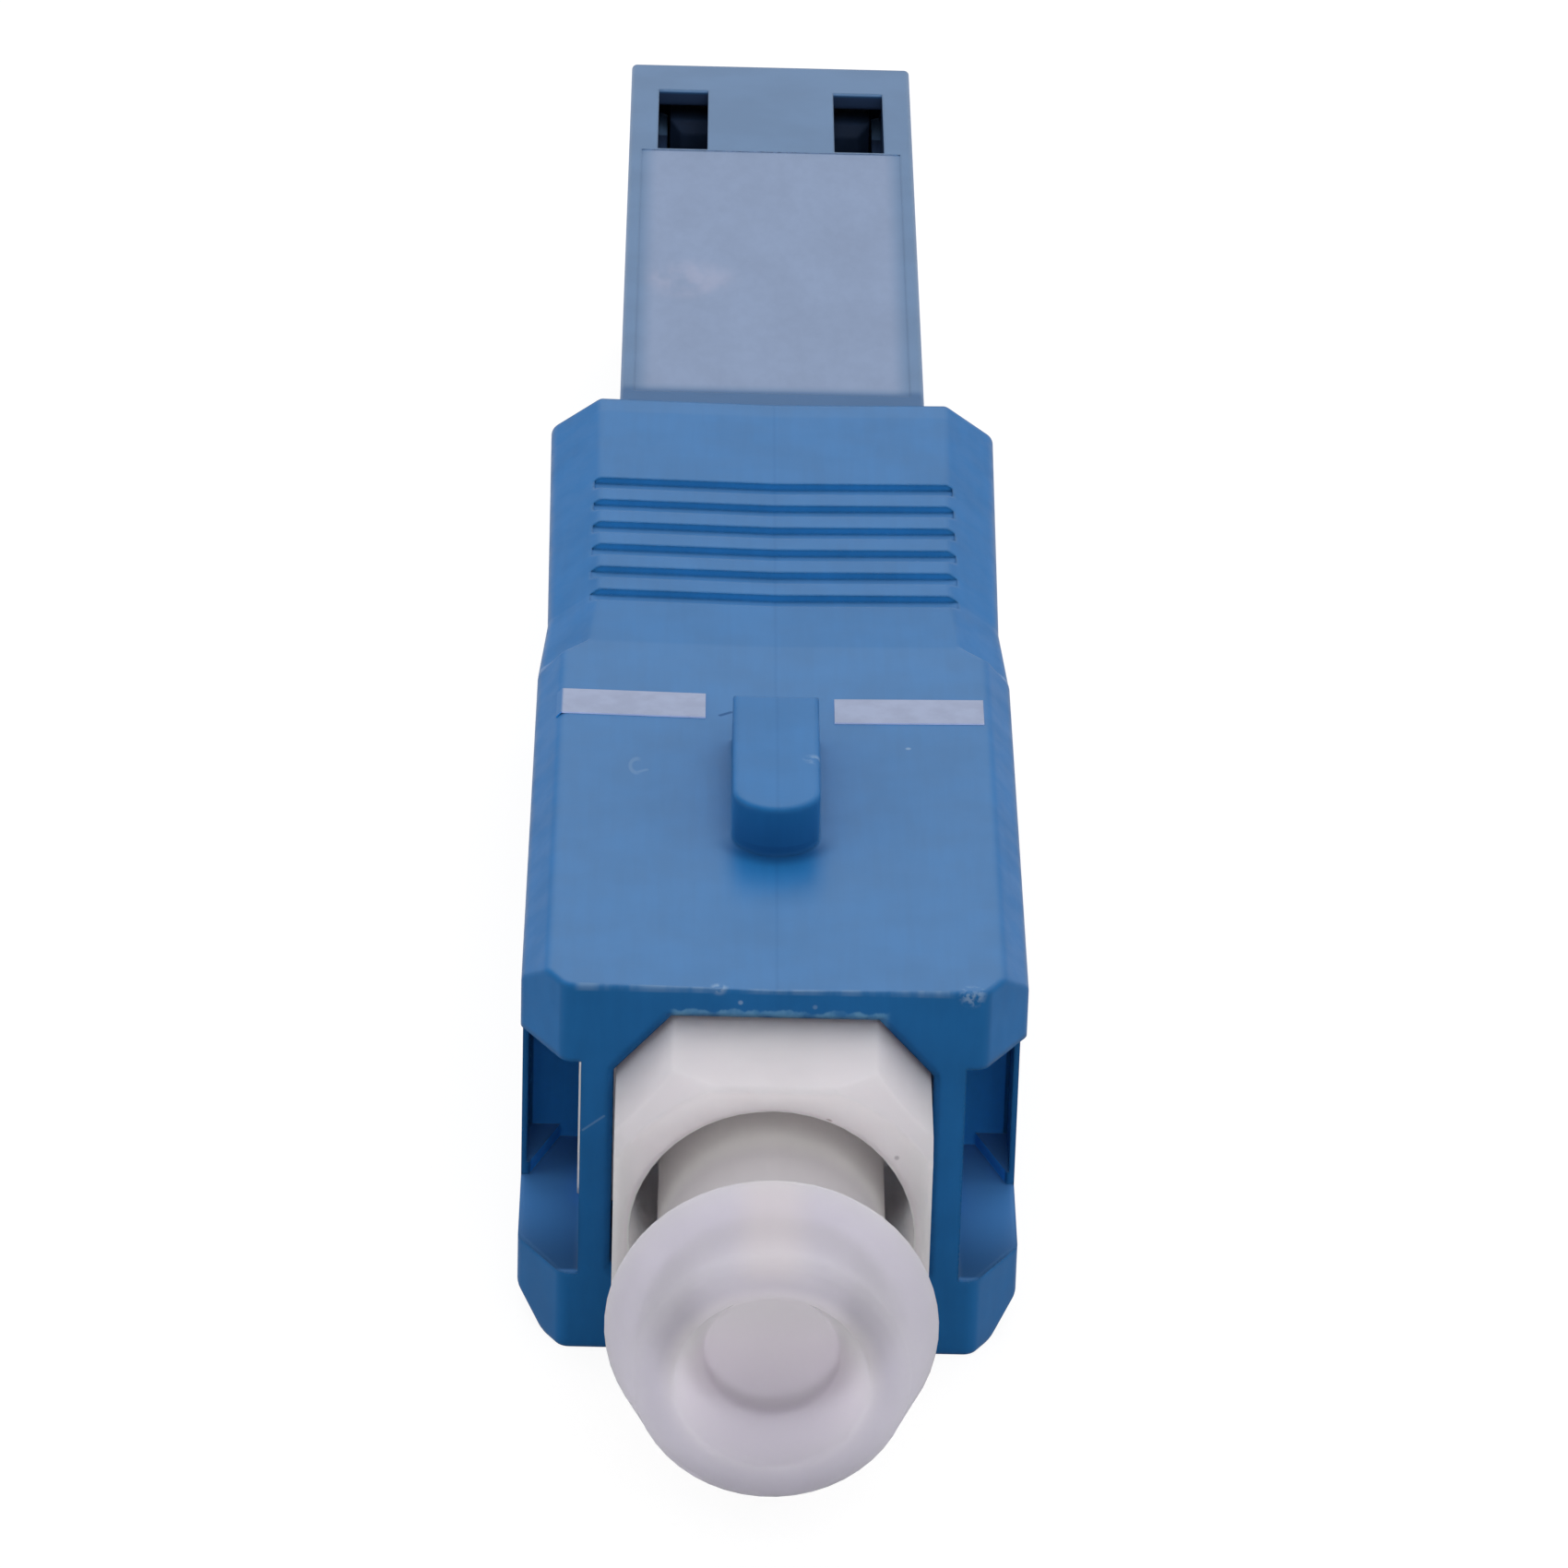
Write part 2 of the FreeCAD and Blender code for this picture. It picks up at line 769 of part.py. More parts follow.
def socket_plug():
    x, z = socket_width / 2, socket_height / 2
    nose = bevelled_block(
        x - plug_gap, plug_front, grip_tab_front, z - plug_gap, plug_bevel, plug_front
    )
    cover = socket_bevel + plug_cover
    flange = bevelled_block(
        x + cover, plug_seat, grip_tab_front, z + cover, plug_flange_bevel, grip_tab_front
    )
    half, corner = grip_tab_width / 2, grip_tab_corner
    plan = [
        (-half, plug_seat),
        (half, plug_seat),
        (half, grip_tab_end - corner),
        (half - corner, grip_tab_end),
        (corner - half, grip_tab_end),
        (-half, grip_tab_end - corner),
    ]
    tab_z = grip_tab_height / 2
    tab = upright(plan, axis_z - tab_z, axis_z + tab_z)
    ribs = []
    for i in range(grip_tab_ribs):
        back = grip_tab_end - corner - i * grip_tab_pitch
        rib_z = tab_z + grip_tab_rib_height
        ribs.append(box(-half, half, back - grip_tab_rib, back, axis_z - rib_z, axis_z + rib_z))
    return nose.fuse([flange, tab] + ribs).removeSplitter()


pieces = [
    coupling_housing,
    insertion_marks,
    plug_frame,
    sc_ferrule,
    ferrule_flange,
    ferrule_spring,
    lc_stub_ferrule,
    optical_fibre,
    split_sleeve,
    sleeve_holder,
    lc_receptacle,
    dust_cap,
    socket_plug,
]

os.makedirs("parts", exist_ok=True)
to_middle = V(0, -(cap_front + grip_tab_end) / 2, 0)
for piece in pieces:
    shape = piece()
    shape.translate(to_middle)
    shape.exportStep(os.path.join("parts", piece.__name__ + ".step"))
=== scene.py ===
from math import cos, radians, sin

import bpy
from mathutils import Matrix, Vector


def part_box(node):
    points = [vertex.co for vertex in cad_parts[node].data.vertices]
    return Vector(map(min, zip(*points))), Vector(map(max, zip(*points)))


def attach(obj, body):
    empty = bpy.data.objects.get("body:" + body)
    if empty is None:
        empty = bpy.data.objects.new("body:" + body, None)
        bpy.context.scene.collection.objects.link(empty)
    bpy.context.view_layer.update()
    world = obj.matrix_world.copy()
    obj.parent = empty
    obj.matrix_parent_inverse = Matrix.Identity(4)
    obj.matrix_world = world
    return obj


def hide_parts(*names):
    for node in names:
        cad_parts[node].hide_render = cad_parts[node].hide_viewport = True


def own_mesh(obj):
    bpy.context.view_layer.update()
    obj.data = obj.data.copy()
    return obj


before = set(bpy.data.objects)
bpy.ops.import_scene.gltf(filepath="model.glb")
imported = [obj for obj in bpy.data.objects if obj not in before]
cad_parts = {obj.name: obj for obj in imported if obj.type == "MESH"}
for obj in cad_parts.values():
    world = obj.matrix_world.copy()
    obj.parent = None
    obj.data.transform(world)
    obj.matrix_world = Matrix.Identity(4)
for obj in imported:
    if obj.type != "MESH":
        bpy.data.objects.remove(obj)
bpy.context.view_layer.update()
MM = 0.001

# Places on the part, in mm. Stations count from the housing's front face along the axis.
# SOFT is half the usual width of a mask's edge
HOUSING_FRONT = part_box("coupling_housing")[0].y / MM
FRAME_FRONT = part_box("plug_frame")[0].y / MM - HOUSING_FRONT
SOCKET_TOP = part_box("lc_receptacle")[1].z / MM
SOCKET_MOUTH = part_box("lc_receptacle")[1].y / MM - HOUSING_FRONT
CAP_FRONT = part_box("dust_cap")[0].y / MM - HOUSING_FRONT
AXIS_Z = (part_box("dust_cap")[0].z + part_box("dust_cap")[1].z) / 2 / MM
HOUSING_TOP = 2 * AXIS_Z
KEY_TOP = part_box("coupling_housing")[1].z / MM
KEY_FRONT = 5.2
KEY_HALF = 0.8
# How far ahead of the key its painted dark reflection and its painted shadow reach
KEY_REFLECTION_REACH = (0.3, 2.3)
SHADOW_REACH = 0.45
GRIP_FRONT = 14.0
GRIP_BACK = 24.8
GROOVE_LOW = 7.05
CHANNEL_FRONT = 0.15
CHANNEL_BACK = 8.0
CHANNEL_LOW = 1.45
CHANNEL_HIGH = 5.85
CHANNEL_WEB = 3.35
CHANNEL_LIP = 4.33
END_WALL_FRONT = 2.5
SHELF_ENDS = (0.2, 2.8)
CORNER_SIDE = 3.8
CORNER_BACK = 1.275
CORNER_LOW = 5.95
FLASH_TOP = 6.94
FLASH_ENDS = (-1.8, 1.95)
FLASH_DEPTH = 0.15
RIM_ENDS = (-3.5, 3.6)
SEAM_SIDES = (-0.01, 0.05)
PRINT_END = 3.99
BORE_RADIUS = 2.5
PANEL_FRONT = 27.4
PANEL_BACK = SOCKET_MOUTH - 5.05
PANEL_HALF = 2.85
WINDOW_INNER = 1.37
WINDOW_OUTER = 2.53
WINDOW_BACK = SOCKET_MOUTH - 1.46
WINDOW_FRONT = SOCKET_MOUTH - 5.02
CAP_RIM = CAP_FRONT + 2.0
DISH_RADIUS = 1.75
SKIRT_RADIUS = 2.25
BROW_SIDES = (-0.55, 0.45)
SOFT = 0.05

# Small marks. A spot is centre, radius and strength, a stroke start, end, width and strength,
# and a ring centre, radius, width and stretch. CORE is the share of a mark's width at full strength
CORE = 0.35
TOP_BY_KEY = HOUSING_TOP - 0.055
TOP_HALFWAY = HOUSING_TOP - 0.03
TICK = ((-1.02, 10.95, TOP_BY_KEY), (-0.82, 11.1, TOP_BY_KEY), 0.06, 0.8)
CURL = 0.15
CURL_RING = ((-2.55, 8.7, TOP_HALFWAY), 0.13, 0.05, (1, 0.45, 1))
CURL_OPENING = (-2.58, -2.45)
CURL_TAIL = ((-2.52, 8.45, TOP_HALFWAY), (-2.38, 8.55, TOP_HALFWAY), 0.06, CURL)
FLECK = ((2.48, 9.66, TOP_HALFWAY), 0.07, 0.5)
KEY_NICK = ((0.68, 7.27, KEY_TOP), 0.24, 0.35)
EDGE_CHIP = ((-1.0, 0.08, HOUSING_TOP - 0.02), 0.2, 0.5)
EDGE_BURR = ((3.45, 0.02, HOUSING_TOP - 0.05), 0.3, 0.45)
FRONT_DOTS = [((-0.62, 0, 7.1), 0.06, 0.45), ((0.69, 0, 7.04), 0.06, 0.25)]
PALE_CORNER_LINE = ((3.71, 0, 7.2), (3.71, 0, 6.0), 0.05, 0.5)
WEB_SCRATCH = ((-3.35, 0, 4.48), (-2.98, 0, 4.77), 0.03, 0.2)
PANEL_RUB = ((-1.8, 33.4, SOCKET_TOP), 1.3, 0.25)
FRAME_BROWN = [((0.93, FRAME_FRONT, 6.06), 0.1, 1.0), ((-1.87, FRAME_FRONT, 4.52), 0.06, 0.7)]
FRAME_GREY = [((-2.8, FRAME_FRONT, 3.89), 0.06, 0.8), ((2.14, FRAME_FRONT, 5.4), 0.06, 0.5)]
CAP_RED = [((0.5, CAP_FRONT + 0.3, 4.44), 0.13, 0.4), ((0.34, CAP_FRONT, 2.86), 0.1, 0.4)]
CAP_GREY = [
    ((-0.81, CAP_FRONT + 0.1, 2.46), 0.09, 0.45),
    ((1.22, CAP_FRONT, 3.89), 0.08, 0.2),
    ((0.55, CAP_RIM, 5.9), 0.16, 0.35),
]

# Colours, linear
BLUE = (0.013, 0.107, 0.288, 1)
# Painted sheen on the housing's upper faces
SHEEN_PALE = (0.47, 0.56, 0.6, 1)
PALE_BLUE = (0.3, 0.42, 0.55, 1)
FLASH_BLUE = (0.13, 0.31, 0.47, 1)
# Dark marks, and the painted shade and shadow at the key
DEEP_BLUE = (0.008, 0.06, 0.19, 1)
# Painted shade on the floor of the hook channels
SHELF_SHADED_BLUE = (0.036, 0.126, 0.3, 1)
# Socket: the roof paler than the sides by painted sheen, and a painted shadow band at the housing
ROOF_SHEEN_BLUE = (0.094, 0.175, 0.312, 1)
SHADOW_BAND_BLUE = (0.03, 0.1, 0.23, 1)
SIDE_BLUE = (0.03, 0.118, 0.29, 1)
# Painted shade inside the latch windows
WINDOW_SHADE_BLUE = (0.022, 0.042, 0.095, 1)
# The panel's colour, paler by painted sheen
PANEL_SHEEN_BLUE = (0.187, 0.25, 0.385, 1)
RUBBED_PALE = (0.42, 0.4, 0.52, 1)
PRINT_WHITE = (0.275, 0.32, 0.455, 1)
FRAME_WHITE = (0.94, 0.845, 0.895, 1)
# Painted shade on the frame's upper faces, and painted light in its bore
FRAME_TOP_SHADED = (0.73, 0.69, 0.74, 1)
BORE_LIT_WHITE = (0.97, 0.96, 0.94, 1)
CAP_WHITE = (0.655, 0.635, 0.71, 1)
# Painted light and shade on the cap: the dish lit above and shaded below, a highlight on the brow, a
# shaded skirt and a lit neck
DISH_LIT_WHITE = (0.97, 0.92, 0.97, 1)
DISH_SHADED_WHITE = (0.62, 0.595, 0.655, 1)
BROW_HIGHLIGHT_WHITE = (0.713, 0.675, 0.709, 1)
SKIRT_SHADED_WHITE = (0.59, 0.565, 0.59, 1)
NECK_LIT_WHITE = (0.81, 0.795, 0.785, 1)
PLUG_BLACK = (0.015, 0.029, 0.064, 1)
CERAMIC_WHITE = (0.85, 0.84, 0.8, 1)
HOLDER_WHITE = (0.7, 0.7, 0.68, 1)
FLANGE_STEEL = (0.62, 0.6, 0.56, 1)
SPRING_STEEL = (0.55, 0.55, 0.56, 1)
FIBRE_GLASS = (0.9, 0.93, 0.95, 1)
SPECK_BROWN = (0.2, 0.09, 0.06, 1)
SPECK_GREY = (0.16, 0.15, 0.16, 1)
SPECK_RED = (0.5, 0.3, 0.28, 1)

# How strong each change of colour is: a share of the second colour, or a factor for the lifts
# and the shelf. A pair is the strength at both ends of a range
# Painted sheen on the housing's upper faces, and how much less of it lies in some places
SHEEN = 0.107
LESS_SHEEN_CHANNEL = 0.5
LESS_SHEEN_GRIP = 0.25
LESS_SHEEN_KEY = 0.35
SEAM = 0.12
DUST = 0.5
WORN_RIM = 0.3
FRAME_DUST = 0.3
# Factors and shares of painted light and shade, down to KEY_SHADOW
TOP_LIGHT_LIFT = 1.19
END_WALL_LIGHT_LIFT = 2.4
CORNER_LIGHT_LIFT = 1.14
GROOVE_LIGHT_LIFT = 1.5
PRINT_WALL_LIGHT_LIFT = 2.0
STEP_LIGHT_LIFT = 1.8
SHELF_SHADE = (0.7, 1.5)
KEY_SHADE = (0.55, 0.15)
KEY_SHADOW = 0.8
FLASH_SHARE = (0.15, 0.7)

# Ranges of a normal's z in which a face passes from steep to flat
SLOPE_TOP = (0.45, 0.65)
SLOPE_SHEEN = (0.8, 0.99)
SLOPE_SEAM = (0.8, 0.95)
SLOPE_WALL = (0.2, 0.6)
SLOPE_SHELF = (0.5, 0.9)
SLOPE_FRONT = (0.3, 0.6)
SLOPE_GROOVE = (0.4, 0.8)
SLOPE_PRINT = (0.3, 0.7)
SLOPE_FRAME = (0.0, 0.5)
SLOPE_ROOF = (0.4, 0.8)
SLOPE_STEP = (0.3, 0.7)

# Stretches of the noise, along x, station and z
ALONG_TOP = (6, 0.5, 1)
ALONG_EDGE = (1, 0.2, 0.2)
ACROSS_ONLY = (1, 0, 0)
ON_FRONT = (1, 0.2, 1)
ACROSS_VIEW = (1, 0.45, 1)
TURNED = (1, 8, 1)
EVEN = (1, 1, 1)
NOISE_LOW = 0.3
NOISE_HIGH = 0.7

# Camera, as fitted to the photo. Lens and sensor are in mm, the rest in radians and metres
CAMERA_AZIMUTH = radians(-0.941)
CAMERA_ELEVATION = radians(26.528)
CAMERA_ROLL = radians(1.683)
CAMERA_TARGET = Vector((0.226, HOUSING_FRONT + 12.0, 5.415)) * MM
CAMERA_DISTANCE = 153.784 * MM
CAMERA_LENS = 186.14
SENSOR = 36
CAMERA_CLIP = (0.005, 20)

# Light and floor. A lamp is place and size, in metres, and power
LAMPS = {
    "rear_light": ((0, 0.28, 0.4), (0.5, 0.4), 1.3),
    "front_light": ((0.1, -0.34, 0.36), (0.4, 0.3), 0.8),
    "left_light": ((-0.45, -0.08, 0.12), (0.4, 0.3), 0.8),
    "right_light": ((0.45, -0.08, 0.12), (0.4, 0.3), 0.6),
}
AMBIENT = 0.45
FLOOR_SIZE = 4.0
FLOOR_LIT = (0.45, 0.45, 0.45, 1)
FLOOR_SHADED = (0.14, 0.14, 0.14, 1)
FLOOR_GLOW = 0.9


# Node helpers


class Shader:
    """One material and short ways to add nodes to it. Lengths in its masks are in mm."""

    def __init__(self, name):
        self.material = bpy.data.materials.new(name)
        self.material.use_nodes = True
        self.tree = self.material.node_tree
        self.tree.nodes.clear()
        self.bsdf = self.add("ShaderNodeBsdfPrincipled")
        out = self.add("ShaderNodeOutputMaterial")
        self.tree.links.new(self.bsdf.outputs[0], out.inputs["Surface"])
        coordinates = self.add("ShaderNodeTexCoord")
        scale = {0: coordinates.outputs["Object"], "Scale": 1 / MM}
        in_mm = self.add("ShaderNodeVectorMath", scale, operation="SCALE").outputs[0]
        from_front = {0: in_mm, 1: (0, -HOUSING_FRONT, 0)}
        self.place = self.add("ShaderNodeVectorMath", from_front, operation="ADD").outputs[0]
        self.x, self.station, self.z = self.add("ShaderNodeSeparateXYZ", {0: self.place}).outputs
        self.up = self.add("ShaderNodeSeparateXYZ", {0: coordinates.outputs["Normal"]}).outputs[2]

    def add(self, kind, inputs=None, **settings):
        node = self.tree.nodes.new(kind)
        for name, value in settings.items():
            setattr(node, name, value)
        for key, value in (inputs or {}).items():
            self.set(node.inputs[key], value)
        return node

    def set(self, socket, value):
        if isinstance(value, bpy.types.NodeSocket):
            self.tree.links.new(value, socket)
        else:
            socket.default_value = value

    def surface(self, **values):
        """Inputs of the surface, with _ for each space in their names."""
        for name, value in values.items():
            self.set(self.bsdf.inputs[name.replace("_", " ")], value)

    def math(self, operation, a, b=0.0):
        return self.add("ShaderNodeMath", {0: a, 1: b}, operation=operation).outputs[0]

    def times(self, *values):
        total = values[0]
        for value in values[1:]:
            total = self.math("MULTIPLY", total, value)
        return total

    def either(self, *values):
        """The largest of the values."""
        total = values[0]
        for value in values[1:]:
            total = self.math("MAXIMUM", total, value)
        return total

    def ramp(self, value, low, high, bottom=0.0, top=1.0):
        """A soft step from bottom, at low, to top, at high."""
        node = self.add(
            "ShaderNodeMapRange",
            {0: value, 1: low, 2: high, 3: bottom, 4: top},
            interpolation_type="SMOOTHSTEP",
        )
        return node.outputs[0]

    def fall(self, value, low, high):
        """A soft step from 1, at low, to 0, at high."""
        return self.ramp(value, low, high, 1.0, 0.0)

    def above(self, value, limit, soft=SOFT):
        return self.ramp(value, limit - soft, limit + soft)

    def below(self, value, limit, soft=SOFT):
        return self.fall(value, limit - soft, limit + soft)

    def window(self, value, low, high, soft=SOFT):
        return self.times(self.above(value, low, soft), self.below(value, high, soft))

    def wide(self):
        """Distance from the middle of the part, to either side."""
        return self.math("ABSOLUTE", self.x)

    def noise(self, per_mm, detail=2.0, stretch=EVEN):
        where = self.add("ShaderNodeVectorMath", {0: self.place, 1: stretch}, operation="MULTIPLY")
        inputs = {"Vector": where.outputs[0], "Scale": per_mm, "Detail": detail}
        return self.add("ShaderNodeTexNoise", inputs).outputs[0]

    def vary(self, noise, low, high):
        """The noise spread over a range of values."""
        return self.ramp(noise, NOISE_LOW, NOISE_HIGH, low, high)

    def mix(self, share, a, b):
        return self.add("ShaderNodeMix", {0: share, 6: a, 7: b}, data_type="RGBA").outputs[2]

    def shade(self, colour, amount):
        """The colour made lighter or darker by a factor."""
        grey = self.add("ShaderNodeCombineColor", {0: amount, 1: amount, 2: amount}).outputs[0]
        inputs = {0: 1.0, 6: colour, 7: grey}
        return self.add("ShaderNodeMix", inputs, data_type="RGBA", blend_type="MULTIPLY").outputs[2]

    def lift(self, colour, mask, factor):
        """The colour made lighter by a factor where the mask is 1."""
        return self.shade(colour, self.ramp(mask, 0.0, 1.0, 1.0, factor))

    def distance(self, point, stretch=EVEN):
        """Distance from a point, with the lengths along each axis stretched first."""
        where = self.add("ShaderNodeVectorMath", {0: self.place, 1: stretch}, operation="MULTIPLY")
        centre = [a * b for a, b in zip(point, stretch)]
        inputs = {0: where.outputs[0], 1: centre}
        return self.add("ShaderNodeVectorMath", inputs, operation="DISTANCE").outputs["Value"]

    def near(self, gap, width):
        """1 where the gap is small, fading out to 0 at the width."""
        return self.fall(gap, width * CORE, width)

    def spot(self, centre, radius, strength):
        """A soft round spot about a point."""
        return self.times(self.near(self.distance(centre), radius), strength)

    def spots(self, table):
        return self.either(*[self.spot(*row) for row in table])

    def ring(self, centre, radius, width, stretch):
        """A soft ring about a point."""
        off = self.math("ABSOLUTE", self.math("SUBTRACT", self.distance(centre, stretch), radius))
        return self.near(off, width)

    def stroke(self, start, end, width, strength):
        """A soft line between two points."""
        start, end = Vector(start), Vector(end)
        way = end - start
        from_start = self.add("ShaderNodeVectorMath", {0: self.place, 1: start}, operation="SUBTRACT")
        inputs = {0: from_start.outputs[0], 1: way / way.length_squared}
        share = self.add("ShaderNodeVectorMath", inputs, operation="DOT_PRODUCT").outputs["Value"]
        share = self.add("ShaderNodeClamp", {0: share}).outputs[0]
        on_line = self.add("ShaderNodeVectorMath", {0: way, "Scale": share}, operation="SCALE").outputs[0]
        inputs = {0: from_start.outputs[0], 1: on_line}
        gap = self.add("ShaderNodeVectorMath", inputs, operation="DISTANCE").outputs["Value"]
        return self.times(self.near(gap, width), strength)

    def from_axis(self):
        """Distance from the optical axis."""
        rise = self.math("SUBTRACT", self.z, AXIS_Z)
        square = self.math("ADD", self.times(self.x, self.x), self.times(rise, rise))
        return self.math("SQRT", square)

    def dust(self, per_mm, size, share):
        """Sparse round flecks: the given share of the cells of a grid holds one."""
        inputs = {"Vector": self.place, "Scale": per_mm}
        cells = self.add("ShaderNodeTexVoronoi", inputs)
        fleck = self.fall(cells.outputs["Distance"], size * 0.4, size)
        pick = self.add("ShaderNodeSeparateColor", {0: cells.outputs["Color"]}).outputs[0]
        return self.times(fleck, self.ramp(pick, 1 - share, 1 - share + 0.01))

    def soft_edges(self, radius_mm):
        """Rounded look of the edges. Returns the rounded normal's share along Z."""
        self.normal = self.add("ShaderNodeBevel", {"Radius": radius_mm * MM}, samples=4).outputs[0]
        self.surface(Normal=self.normal)
        return self.add("ShaderNodeSeparateXYZ", {0: self.normal}).outputs[2]

    def rough_skin(self, height, depth_mm):
        """Fine bumps on top of the soft edges."""
        inputs = {"Height": height, "Distance": depth_mm * MM, "Normal": self.normal}
        self.surface(Normal=self.add("ShaderNodeBump", inputs).outputs[0])


# Materials


def housing_tones(s, up):
    """Moulded blue, with painted light making its upper faces lighter and painted sheen on them, and
    painted light and shade in the channels, on the corners, in the grooves and at the key.
    """
    wide = s.wide()
    cloudy = s.vary(s.noise(0.8, 3.0), 0.95, 1.05)
    streaks = s.vary(s.noise(1.0, 3.0, ALONG_TOP), 0.975, 1.025)
    colour = s.shade(BLUE, s.times(cloudy, streaks))
    # Painted light: the upper faces lighter than the steep ones
    colour = s.shade(colour, s.ramp(up, *SLOPE_TOP, 1.0, TOP_LIGHT_LIFT))

    # Painted sheen on the flat upper faces, standing in for their reflection of bright light: less of it
    # in the hook channels, on the grip and on the key, and none just ahead of the key, where the key's
    # dark reflection is painted
    off_key = s.math("SUBTRACT", s.distance((0, KEY_FRONT + KEY_HALF, HOUSING_TOP)), KEY_HALF)
    on_top = s.below(s.z, HOUSING_TOP + 0.15)
    ahead = s.times(on_top, s.fall(s.station, KEY_FRONT, KEY_FRONT + 0.9))
    key_reflection = s.times(ahead, s.fall(off_key, *KEY_REFLECTION_REACH), s.window(s.x, -KEY_HALF, KEY_HALF, 0.3))
    channel = s.times(
        s.above(wide, CHANNEL_WEB),
        s.window(s.station, CHANNEL_FRONT, CHANNEL_BACK),
        s.window(s.z, CHANNEL_LOW, CHANNEL_HIGH),
    )
    grip = s.window(s.station, GRIP_FRONT, GRIP_BACK, 0.1)
    on_key = s.above(s.z, HOUSING_TOP + 0.5, 0.1)
    less_sheen = s.either(
        key_reflection,
        s.times(channel, LESS_SHEEN_CHANNEL),
        s.times(grip, LESS_SHEEN_GRIP),
        s.times(on_key, LESS_SHEEN_KEY),
    )
    sheen = s.times(s.ramp(up, *SLOPE_SHEEN, 0.0, SHEEN), s.math("SUBTRACT", 1.0, less_sheen))
    colour = s.mix(sheen, colour, SHEEN_PALE)

    # Hook channels: painted light on the end wall, and painted shade on the floor, darker at the front
    # and lighter further in
    end_wall = s.times(
        channel,
        s.fall(s.up, *SLOPE_WALL),
        s.below(wide, CHANNEL_LIP, 0.03),
        s.above(s.station, END_WALL_FRONT, 0.1),
    )
    colour = s.lift(colour, end_wall, END_WALL_LIGHT_LIFT)
    shelf = s.times(channel, s.ramp(s.up, *SLOPE_SHELF))
    colour = s.mix(shelf, colour, s.shade(SHELF_SHADED_BLUE, s.ramp(s.station, *SHELF_ENDS, *SHELF_SHADE)))

    # Painted light on the faces of the front corners and on the walls of the grip's grooves
    corner = s.times(
        s.above(wide, CORNER_SIDE),
        s.below(s.station, CORNER_BACK, 0.075),
        s.above(s.z, CORNER_LOW),
        s.fall(up, *SLOPE_FRONT),
    )
    colour = s.lift(colour, corner, CORNER_LIGHT_LIFT)
    grooves = s.times(grip, s.above(s.z, GROOVE_LOW), s.fall(up, *SLOPE_GROOVE))
    colour = s.lift(colour, grooves, GROOVE_LIGHT_LIFT)

    # Painted shade on the key's front, darker towards its foot, and a painted shadow on the top at the
    # foot
    key_front = s.times(s.above(s.z, HOUSING_TOP), s.below(s.station, KEY_FRONT + 0.55, 0.15))
    towards_foot = s.ramp(s.z, HOUSING_TOP, KEY_TOP, *KEY_SHADE)
    key_front_shade = s.times(key_front, s.fall(up, *SLOPE_FRONT), towards_foot)
    shadow = s.times(ahead, s.ramp(off_key, 0.0, SHADOW_REACH, KEY_SHADOW, 0.0))
    return s.mix(s.either(key_front_shade, shadow), colour, DEEP_BLUE)


def housing_dark_marks(s, up):
    """The mould's seam along the middle of the top, and a tick beside the key."""
    seam = s.times(s.window(s.x, *SEAM_SIDES, 0.03), s.ramp(up, *SLOPE_SEAM), SEAM)
    return s.either(seam, s.stroke(*TICK))


def housing_pale_marks(s):
    """A curl, flecks and a nick on the top, the worn front edge, and marks on the front face."""
    open_ring = s.times(s.ring(*CURL_RING), s.fall(s.x, *CURL_OPENING), CURL)
    nick = s.times(s.spot(*KEY_NICK), s.ramp(s.noise(5.0, 3.0), 0.42, 0.6))
    dust = s.times(s.dust(0.7, 0.03, 0.2), DUST)
    top = s.either(open_ring, s.stroke(*CURL_TAIL), s.spot(*FLECK), nick, dust)

    rim = s.times(s.window(s.station, 0.0, 0.08, 0.03), s.above(s.z, HOUSING_TOP - 0.125, 0.025))
    patches = s.ramp(s.noise(1.6, 4.0, ALONG_EDGE), 0.42, 0.62)
    worn = s.times(rim, patches, s.window(s.x, *RIM_ENDS, 0.1), WORN_RIM)
    chip = s.times(s.spot(*EDGE_CHIP), s.ramp(s.noise(7.0), 0.38, 0.55))
    burr = s.times(s.spot(*EDGE_BURR), s.ramp(s.noise(9.0), 0.4, 0.6))

    # A pale line down the edge of the right front corner
    pale_corner_line = s.times(s.stroke(*PALE_CORNER_LINE), s.ramp(s.noise(4.0), 0.3, 0.5))
    return s.either(top, worn, chip, burr, s.spots(FRONT_DOTS), pale_corner_line, s.stroke(*WEB_SCRATCH))


def mouth_flash(s):
    """Ragged flash on the upper edge of the mouth."""
    wave = s.math("ADD", s.z, s.vary(s.noise(2.2, 3.0, ACROSS_ONLY), -0.06, 0.06))
    return s.times(
        s.below(wave, FLASH_TOP, 0.03),
        s.window(s.x, *FLASH_ENDS, 0.1),
        s.below(s.station, FLASH_DEPTH),
        s.ramp(s.noise(3.0, 3.0, ON_FRONT), 0.3, 0.6, *FLASH_SHARE),
    )


def housing_blue():
    s = Shader("housing_blue")
    up = s.soft_edges(0.15)
    colour = housing_tones(s, up)
    colour = s.mix(housing_dark_marks(s, up), colour, DEEP_BLUE)
    colour = s.mix(housing_pale_marks(s), colour, PALE_BLUE)
    colour = s.mix(mouth_flash(s), colour, FLASH_BLUE)
    s.surface(Base_Color=colour, Roughness=s.vary(s.noise(2.0, 3.0), 0.3, 0.38), IOR=1.12)
    s.rough_skin(s.noise(10.0, 2.0), 0.0006)
    return s.material


